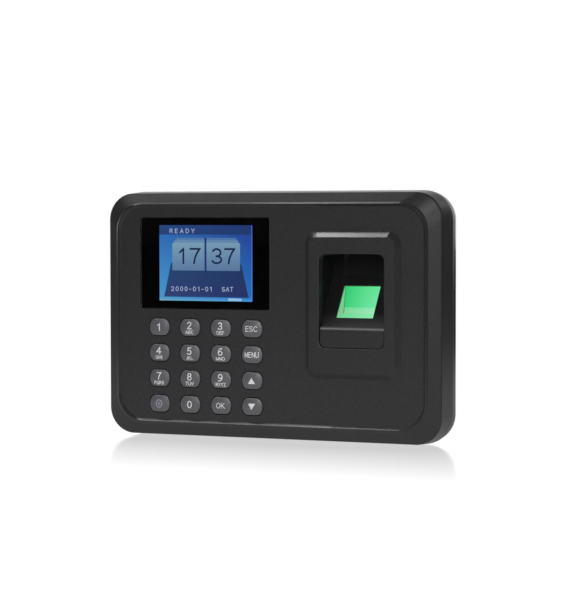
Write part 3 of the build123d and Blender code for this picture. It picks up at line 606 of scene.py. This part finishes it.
def key_legend(name, ink):
    """The print on one key, which follows its crown."""
    low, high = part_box(name)
    cx = (low.x + high.x) / 2 / MM
    cz = (low.z + high.z) / 2 / MM
    top = low.y / MM
    quads = []
    digit, word = LEGENDS.get(name, ("", ""))
    if digit:
        lift = DIGIT_LIFT if word else 0.0
        quads += text_quads(digit, (cx, cz + lift), DIGIT_HEIGHT, DIGIT_WEIGHT, step=PRINT_STEP)
        if word:
            wide = 0.98 if len(word) < 4 else 0.86
            quads += text_quads(word, (cx, cz - LETTER_DROP), LETTER_HEIGHT, LETTER_WEIGHT, 0.24, wide,
                                PRINT_STEP)
    elif word:
        wide = 0.95 if len(word) < 4 else 0.78
        quads += text_quads(word, (cx, cz), WORD_HEIGHT, WORD_WEIGHT, 0.26, wide, PRINT_STEP)
    elif name in ("key_up", "key_down"):
        quads += arrow_quads(cx, cz, 1 if name == "key_up" else -1)
    else:
        quads += ribbon_quads(arc(cx, cz, *RING, 90, 450, 32), RING_WEIGHT, 0.3)
        quads += ribbon_quads([(cx, cz - 0.3), (cx, cz + 0.4)], 0.75, 0.3)

    def crown(x, z):
        return KEY_CROWN - math.sqrt(KEY_CROWN**2 - (x - cx) ** 2 - (z - cz) ** 2)

    mesh = plate_mesh(name + "_print", quads, top - INK, INK_THICK, crown)
    piece = new_object(name + "_print", mesh, name, ink)


def key_legends():
    """Prints all sixteen keys. The power sign is a bluer, duller white."""
    white = plastic("legend_white", (0.95, 0.95, 0.95), 0.45, grain=0.0001, speck=0.05)
    violet = plastic("legend_violet", (0.36, 0.34, 0.44), 0.45, grain=0.0001, speck=0.05)
    for name in frame["bodies"]:
        if name.startswith("key_"):
            key_legend(name, violet if name == "key_power" else white)


# ---------------------------------------------------------------- the picture behind the lens
PICTURE = (-57.85, -8.59, 66.43, 103.0)  # x from, x to, z from, z to
LAYER_STEP = 0.03  # from the glass to the first layer, and from each layer to the next
FILM = 0.02  # thickness of a layer of the picture, or of a lit face of the prism
BORDER_MARGIN = 0.3  # the black border ends this far inside the lens's rim
BORDER_GAP = 0.05  # and clears the picture by this much
BORDER_BEHIND = 0.003  # it stands this far behind the lens
BORDER_THICK = 0.01


def on_picture(u, v):
    """A point of the picture: u runs right and v runs down, both 0 to 1."""
    x0, x1, z0, z1 = PICTURE
    return (x0 + (x1 - x0) * u, z1 - (z1 - z0) * v)


def picture_box(u0, u1, v0, v1, radius=0.0, corners=""):
    """A box of the picture as an outline, whose named corners may be rounded."""
    x0, z1 = on_picture(u0, v0)
    x1, z0 = on_picture(u1, v1)
    if not radius:
        return rectangle(x0, x1, z0, z1)
    return rounded(x0, x1, z0, z1, radius, corners)


def picture_layer(name, outlines, layer, finish):
    """One layer of the picture, in front of the display's glass."""
    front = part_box("display_glass")[0].y / MM
    mesh = plate_mesh(name, outlines, front - LAYER_STEP - LAYER_STEP * layer, FILM)
    piece = new_object(name, mesh, "root", finish)


def picture():
    """The clock picture: blue field, header, flip cards on a stand, time and date."""
    blue = glowing("picture_blue", (screen_rgb(75, 159, 215), screen_rgb(40, 115, 195),
                                    screen_rgb(44, 102, 184), screen_rgb(41, 60, 146)))
    picture_layer("picture_field", [picture_box(0, 1, 0, 1)], 0, blue)
    header = glowing("picture_header", (screen_rgb(38, 69, 124), screen_rgb(36, 61, 112),
                                        screen_rgb(42, 75, 135), screen_rgb(34, 57, 118)))
    picture_layer("picture_header", [picture_box(0, 1, 0, 0.125)], 1, header)
    strip = glowing("picture_strip", (screen_rgb(118, 180, 210), screen_rgb(64, 156, 222),
                                      screen_rgb(90, 160, 206), screen_rgb(52, 130, 214)))
    picture_layer("picture_strip", [picture_box(0.0, 1, 0.962, 1.0)], 1, strip)
    shine = glowing("picture_shine", (screen_rgb(150, 205, 236), screen_rgb(176, 208, 240),
                                      screen_rgb(180, 204, 230), screen_rgb(140, 190, 240)))
    picture_layer("picture_shine", [picture_box(0.74, 0.88, 0.962, 0.992)], 2, shine)
    edge = glowing("picture_edge", (screen_rgb(70, 150, 236), screen_rgb(92, 120, 222),
                                    screen_rgb(72, 96, 206), screen_rgb(92, 110, 214)))
    picture_layer("picture_edge", [picture_box(0.985, 1.0, 0.0, 1.0)], 3, edge)
    stand = glowing("picture_stand", (screen_rgb(54, 67, 119), screen_rgb(40, 54, 106),
                                      screen_rgb(37, 73, 116), screen_rgb(35, 58, 103)))
    outline = [on_picture(u, v) for u, v in ((0.05, 0.948), (0.955, 0.948), (0.875, 0.5),
                                             (0.125, 0.5))]
    picture_layer("picture_stand", [outline], 1, stand)
    gap = flat_glow("picture_gap", screen_rgb(34, 58, 120))
    picture_layer("picture_gap", [picture_box(0.485, 0.512, 0.165, 0.615)], 2, gap)
    for k, (inset, rise, tone) in enumerate(((0.036, 0.168, 0), (0.018, 0.197, 18),
                                             (0.0, 0.232, 40))):
        base = glowing(f"picture_card_{k}", (
            screen_rgb(96, 126, 166), screen_rgb(94, 123, 164),
            screen_rgb(86 + tone, 128 + tone * 0.9, 174 + tone * 0.3),
            screen_rgb(82 + tone, 122 + tone * 0.9, 174 + tone * 0.3)))
        cards = [picture_box(0.141 + inset, 0.487, rise, 0.6, 0.8, "b"),
                 picture_box(0.509, 0.866 - inset, rise, 0.6, 0.8, "a")]
        picture_layer(f"picture_cards_{k}", cards, 3 + k, base)
    ink = flat_glow("picture_ink", screen_rgb(24, 44, 80))
    pair_height = 0.212 * (PICTURE[3] - PICTURE[2])
    digits = []
    for text, u in (("1", 0.245), ("7", 0.387), ("3", 0.622), ("7", 0.757)):
        x, z = on_picture(u, 0.407)
        digits += text_quads(text, (x, z), pair_height, 0.92, squeeze=1.12 if text != "1" else 0.9)
    picture_layer("picture_time", digits, 7, ink)
    words = []
    small = 0.062 * (PICTURE[3] - PICTURE[2])
    for text, u0, u1, v in (("READY", 0.115, 0.38, 0.077), ("2000-01-01", 0.13, 0.565, 0.842),
                            ("SAT", 0.675, 0.79, 0.842)):
        widths = sum(GLYPHS[c][0] for c in text)
        length = (u1 - u0) * (PICTURE[1] - PICTURE[0])
        gap_width = (length / small - widths) / (len(text) - 1)
        centre = on_picture((u0 + u1) / 2, v)
        words += text_quads(text, centre, small, 0.3, gap_width)
    pale = flat_glow("picture_words", screen_rgb(176, 186, 226))
    picture_layer("picture_words", words, 6, pale)


def lens_border():
    """The black print behind the lens, with the clear window cut out of it."""
    low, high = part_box("screen_lens")
    x0, x1 = low.x / MM + BORDER_MARGIN, high.x / MM - BORDER_MARGIN
    z0, z1 = low.z / MM + BORDER_MARGIN, high.z / MM - BORDER_MARGIN
    left, right = PICTURE[0] - BORDER_GAP, PICTURE[1] + BORDER_GAP
    below, above = PICTURE[2] - BORDER_GAP, PICTURE[3] + BORDER_GAP
    strips = [rectangle(x0, x1, z0, below), rectangle(x0, x1, above, z1),
              rectangle(x0, left, below, above), rectangle(right, x1, below, above)]
    ink = plastic("lens_ink", (0.0018, 0.0018, 0.002), 0.35, grain=0.0002, strength=0.02, specular=0.0)
    mesh = plate_mesh("lens_border", strips, high.y / MM + BORDER_BEHIND, BORDER_THICK)
    piece = new_object("lens_border", mesh, "root", ink)


# ---------------------------------------------------------------- the lit prism
INSET = 0.05  # the lit plates stand just inside the glass, and this far from each other
PAINTED_BAND_HEIGHT = 3.4  # of the band of painted light along the bottom
SHADE_LINE_WIDTH = 0.35  # of the painted shade line at the left corner


def prism_light():
    """Green glowing plates against the prism's back, under it and on its left side. The green diffuser
    on the back glows; the rest is painted light: a paler band along the bottom, the plate under the
    prism and the lit left side, a painted highlight along the top edge and a painted shade line at the
    left corner.
    """
    low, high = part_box("sensor_prism")
    green = glowing("prism_green", (screen_rgb(58, 214, 128), screen_rgb(128, 240, 178),
                                    screen_rgb(52, 208, 116), screen_rgb(110, 234, 160)))
    x0, x1, z0, z1 = low.x / MM, high.x / MM, low.z / MM, high.z / MM
    y0, y1 = low.y / MM, high.y / MM
    # painted light: the paler glow of the band along the bottom and of the plate under the prism
    pale = glowing("prism_painted_light", (screen_rgb(142, 216, 160), screen_rgb(176, 238, 196),
                                  screen_rgb(110, 222, 152), screen_rgb(150, 240, 186)))
    # painted shade: the dark line at the prism's left corner
    dark = flat_glow("prism_painted_shade", screen_rgb(22, 128, 66))
    # painted light on the prism's left side
    side_light = flat_glow("prism_side_painted_light", screen_rgb(134, 204, 152))
    # painted highlight: the light line along the prism's top edge
    edge = flat_glow("prism_painted_highlight", screen_rgb(186, 222, 190))
    sides = (x0, x1)
    bottom = z0 + INSET
    plates = (
        ("prism_diffuser", green, rectangle(*sides, z0, z1), y1 - INSET, FILM),
        # painted light: a paler band along the bottom of the window
        ("prism_painted_band", pale, rectangle(*sides, z0, z0 + PAINTED_BAND_HEIGHT), y1 - 2 * INSET, FILM),
        # painted highlight along the top edge
        ("prism_top_highlight", edge, rectangle(*sides, z1 - 0.7, z1 - 0.1), y1 - 2 * INSET, FILM),
        # painted shade line at the left corner
        ("prism_shade_line", dark, rectangle(x0, x0 + SHADE_LINE_WIDTH, z0, z1), y1 - 3 * INSET, FILM),
        # painted light: a pale glowing plate under the prism
        ("prism_sole", pale, rectangle(*sides, bottom, bottom + FILM), y0 + 0.2, y1 - y0 - 0.3),
    )
    for name, finish, outline, y, thickness in plates:
        mesh = plate_mesh(name, [outline], y, thickness)
        new_object(name, mesh, "root", finish)
    # the prism's left side: a triangle of painted light
    triangle = [(y0 + 0.2, z0 + 0.1), (y1 - 0.1, z0 + 0.1), (y1 - 0.1, z1 - 0.2)]
    mesh = side_mesh("prism_painted_side", triangle, x0 + INSET, FILM)
    new_object("prism_painted_side", mesh, "root", side_light)


# ---------------------------------------------------------------- studio
def area_light(name, place, target, size, power):
    """A soft rectangular light aimed at a point, sizes in metres and power in watts."""
    data = bpy.data.lights.new(name, "AREA")
    data.shape = "RECTANGLE"
    data.size, data.size_y = size
    data.energy = power
    light = bpy.data.objects.new(name, data)
    light.location = place
    light.rotation_euler = (Vector(target) - Vector(place)).to_track_quat("-Z", "Y").to_euler()
    bpy.context.scene.collection.objects.link(light)


LIGHTS = (  # name, place, target, size across and along, power
    ("upper_left", (-0.612, -0.354, 0.777), (0.0, 0.0, 0.06), (0.45, 0.45), 0.6),
    ("upper_front", (-0.299, -0.74, 0.672), (0.0, 0.0, 0.06), (0.28, 0.28), 0.9),
    ("front", (0.195, -0.919, 0.412), (0.0, 0.0, 0.06), (0.45, 0.45), 3.6),
    ("right", (0.692, -0.692, 0.278), (0.0, 0.0, 0.06), (0.45, 0.45), 0.763),
    ("far_right", (0.936, -0.082, 0.412), (0.0, 0.0, 0.06), (0.45, 0.45), 0.445),
    ("overhead_strip", (-0.281, -0.057, 0.99), (0.045, -0.013, 0.0985), (0.14, 0.14), 0.29),
    ("overhead_long", (-0.54, -0.08, 0.97), (0.0, -0.08, 0.06), (0.12, 0.5), 0.75),
)
AMBIENT = 0.02  # brightness of the room in reflections
BACKDROP = 1.0  # and of the white backdrop behind the terminal
BACKDROP_START = (0.1, 0.3)  # how far backwards a direction must point to meet it: none, full
BACKDROP_TOP = (0.45, 0.25)  # how far upwards it may point: none, full
BACKDROP_EDGE = 0.27  # the backdrop ends where x over y passes this, right of straight back
BACKDROP_BLUR = 0.03  # half the width of that edge
FLOOR_SHEEN = 0.42  # how much the floor mirrors at the terminal's foot
FLOOR_FADE = 0.105  # and how far forward, in metres, until that is gone
FLOOR_LEFT = (-0.12, -0.088)  # and how far to either side: gone at the first, full at the second
FLOOR_RIGHT = (0.155, 0.12)
FLOOR_BACK = 0.05  # and how far back: gone there, and full at the terminal's rear face
FLOOR_BLUR = 0.12  # roughness of the mirror image
FLOOR_TONE = 0.2
FLOOR_SIZE = 6.0  # half its width
FLOOR_DROP = 0.0002  # keeps it just under the terminal
FLOOR_GLOW = 0.36  # light that the floor sends up: full within the first radius, then fading
FLOOR_GLOW_REACH = (0.35, 0.8)


def surround():
    """White for the camera. Reflections see a white backdrop behind the terminal, up to a little
    right of straight back, and a dim room elsewhere."""
    world = bpy.data.worlds.new("surround")
    bpy.context.scene.world = world
    world.use_nodes = True
    nodes, links = world.node_tree.nodes, world.node_tree.links
    split = place_split(nodes, links, "Generated")
    back = soft_step(nodes, links, split.outputs["Y"], *BACKDROP_START)
    edge = reckon(nodes, links, "MULTIPLY", split.outputs["Y"], BACKDROP_EDGE)
    past = reckon(nodes, links, "SUBTRACT", edge, split.outputs["X"])
    left = soft_step(nodes, links, past, -BACKDROP_BLUR, BACKDROP_BLUR)
    low = soft_step(nodes, links, split.outputs["Z"], *BACKDROP_TOP)
    seen = reckon(nodes, links, "MULTIPLY", reckon(nodes, links, "MULTIPLY", back, left), low)
    lit = reckon(nodes, links, "MULTIPLY", seen, BACKDROP)
    level = reckon(nodes, links, "ADD", lit, AMBIENT)
    dim = nodes["Background"]
    dim.inputs["Color"].default_value = (1.0, 1.0, 1.0, 1.0)
    links.new(level, dim.inputs["Strength"])
    white = nodes.new("ShaderNodeBackground")
    white.inputs["Color"].default_value = (1.0, 1.0, 1.0, 1.0)
    path = nodes.new("ShaderNodeLightPath")
    mix = nodes.new("ShaderNodeMixShader")
    links.new(path.outputs["Is Camera Ray"], mix.inputs["Fac"])
    links.new(dim.outputs["Background"], mix.inputs[1])
    links.new(white.outputs["Background"], mix.inputs[2])
    links.new(mix.outputs["Shader"], nodes["World Output"].inputs["Surface"])


def floor_material():
    """Burnt-out white with a soft mirror image that fades in front of the terminal."""
    made, nodes, links, shader = material("floor_white")
    nodes.remove(shader)
    where = nodes.new("ShaderNodeTexCoord")
    split = nodes.new("ShaderNodeSeparateXYZ")
    links.new(where.outputs["Object"], split.inputs["Vector"])
    fade = nodes.new("ShaderNodeMapRange")
    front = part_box("front_housing")[0].y
    fade.inputs["From Min"].default_value = front - FLOOR_FADE
    fade.inputs["From Max"].default_value = front
    fade.inputs["To Max"].default_value = FLOOR_SHEEN
    links.new(split.outputs["Y"], fade.inputs["Value"])
    behind = soft_step(nodes, links, split.outputs["Y"], FLOOR_BACK, -front)
    left = soft_step(nodes, links, split.outputs["X"], *FLOOR_LEFT)
    right = soft_step(nodes, links, split.outputs["X"], *FLOOR_RIGHT)
    under = reckon(nodes, links, "MULTIPLY", behind, reckon(nodes, links, "MULTIPLY", left, right))
    amount = reckon(nodes, links, "MULTIPLY", fade.outputs["Result"], under)
    white = nodes.new("ShaderNodeEmission")
    mirror = nodes.new("ShaderNodeBsdfGlossy")
    mirror.distribution = "MULTI_GGX"
    mirror.inputs["Roughness"].default_value = FLOOR_BLUR
    mirror.inputs["Color"].default_value = (1.1, 1.1, 1.1, 1.0)
    sheen = nodes.new("ShaderNodeMixShader")
    links.new(amount, sheen.inputs["Fac"])
    links.new(white.outputs["Emission"], sheen.inputs[1])
    links.new(mirror.outputs["BSDF"], sheen.inputs[2])
    dull = nodes.new("ShaderNodeBsdfDiffuse")
    dull.inputs["Color"].default_value = (FLOOR_TONE, FLOOR_TONE, FLOOR_TONE, 1.0)
    radius = nodes.new("ShaderNodeVectorMath")
    radius.operation = "LENGTH"
    links.new(where.outputs["Object"], radius.inputs[0])
    full, gone = FLOOR_GLOW_REACH
    near = soft_step(nodes, links, radius.outputs["Value"], gone, full)
    glow = nodes.new("ShaderNodeEmission")
    links.new(reckon(nodes, links, "MULTIPLY", near, FLOOR_GLOW), glow.inputs["Strength"])
    lit = nodes.new("ShaderNodeAddShader")
    links.new(dull.outputs["BSDF"], lit.inputs[0])
    links.new(glow.outputs["Emission"], lit.inputs[1])
    path = nodes.new("ShaderNodeLightPath")
    mix = nodes.new("ShaderNodeMixShader")
    links.new(path.outputs["Is Camera Ray"], mix.inputs["Fac"])
    links.new(lit.outputs["Shader"], mix.inputs[1])
    links.new(sheen.outputs["Shader"], mix.inputs[2])
    links.new(mix.outputs["Shader"], nodes["Material Output"].inputs["Surface"])
    return made


def studio():
    """Soft lights over a pale floor."""
    for light in LIGHTS:
        area_light(*light)
    surround()
    mesh = bpy.data.meshes.new("floor")
    corners = rectangle(-FLOOR_SIZE, FLOOR_SIZE, -FLOOR_SIZE, FLOOR_SIZE)
    mesh.from_pydata([(x, y, 0.0) for x, y in corners], [], [(0, 1, 2, 3)])
    mesh.materials.append(floor_material())
    floor = bpy.data.objects.new("floor", mesh)
    floor.location.z = -FLOOR_DROP
    bpy.context.scene.collection.objects.link(floor)


EYE = (370.0, -892.8, 108.25)  # where the camera stands, with y counted from the front panel
AIM = (8.93, 0.0, 67.61)  # and the point that it looks at, both in millimetres
LENS_LENGTH = 122.15
SENSOR_WIDTH = 36.0
ROLL = -0.089  # degrees


def camera():
    """A long lens from the right and a little above, almost level."""
    data = bpy.data.cameras.new("camera")
    data.lens = LENS_LENGTH
    data.sensor_width = SENSOR_WIDTH
    data.clip_end = 50.0
    eye = bpy.data.objects.new("camera", data)
    place, target = (Vector((x, y + PANEL_Y, z)) * MM for x, y, z in (EYE, AIM))
    eye.location = place
    look = (target - place).to_track_quat("-Z", "Y").to_matrix()
    eye.rotation_euler = look.to_euler()
    eye.rotation_euler.rotate_axis("Z", math.radians(ROLL))
    bpy.context.scene.collection.objects.link(eye)
    bpy.context.scene.camera = eye


camera()
studio()
dress_nodes()
key_legends()
picture()
lens_border()
prism_light()
bpy.context.scene.view_settings.view_transform = "Standard"
